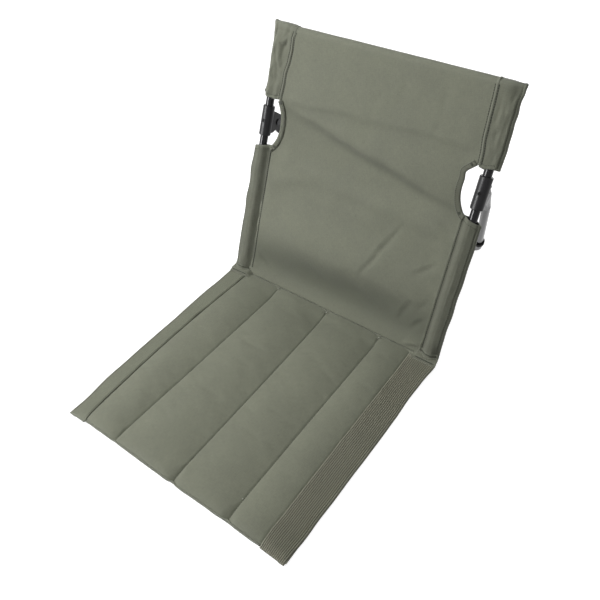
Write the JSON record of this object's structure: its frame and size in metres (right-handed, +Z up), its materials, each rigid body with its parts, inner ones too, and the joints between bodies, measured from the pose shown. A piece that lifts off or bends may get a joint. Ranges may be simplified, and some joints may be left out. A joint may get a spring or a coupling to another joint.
{
  "type": "folding camping chair",
  "caption": "Legless folding camp chair: quilted ground seat, cloth back on a bent tube frame, and a folding U-shaped rear leg that props the back.",
  "frame": {"origin": "on the ground under the middle of the chair's bounding box", "axes": "+Z up, +Y from the front edge of the seat to the rear leg, +X to the right seen from the front"},
  "size_m": [0.4, 0.6716, 0.3932],
  "materials": {
    "cloth": "matt woven polyester",
    "webbing": "ribbed webbing",
    "foam": "soft foam",
    "black_tube": "gloss black",
    "black_plastic": "satin",
    "black_screw": "black oxide",
    "rivet_steel": "satin",
    "black_rubber": "matt"
  },
  "bodies": {
    "seat": {"seat_base_panel": "cloth", "seat_cover": "cloth", "hinge_welt": "cloth", "seat_foam_1": "foam", "seat_foam_2": "foam", "seat_foam_3": "foam", "seat_foam_4": "foam", "seat_webbing_left": "webbing", "seat_webbing_right": "webbing"},
    "backrest": {"back_frame": "black_tube", "back_panel": "cloth", "head_hood": "cloth", "post_plug_left": "black_plastic", "post_plug_right": "black_plastic", "sleeve_left": "cloth", "sleeve_right": "cloth", "cutout_binding_left": "cloth", "cutout_binding_right": "cloth", "bracket_left": "black_plastic", "bracket_right": "black_plastic", "bracket_screws": "black_screw", "pivot_rivets": "rivet_steel", "pivot_washers": "black_plastic"},
    "rear_leg": {"rear_leg_tube": "black_tube", "leg_ring_left": "black_rubber", "leg_ring_right": "black_rubber"}
  },
  "joints": [
    {"name": "back_fold", "type": "hinge", "parent": "seat", "child": "backrest", "pos_m": [0, 0.04616, 0.012], "axis": [1, 0, 0], "range_deg": [0, 100]},
    {"name": "leg_fold", "type": "hinge", "parent": "backrest", "child": "rear_leg", "pos_m": [0, 0.16341, 0.24613], "axis": [-1, 0, 0], "range_deg": [0, 56]}
  ]
}
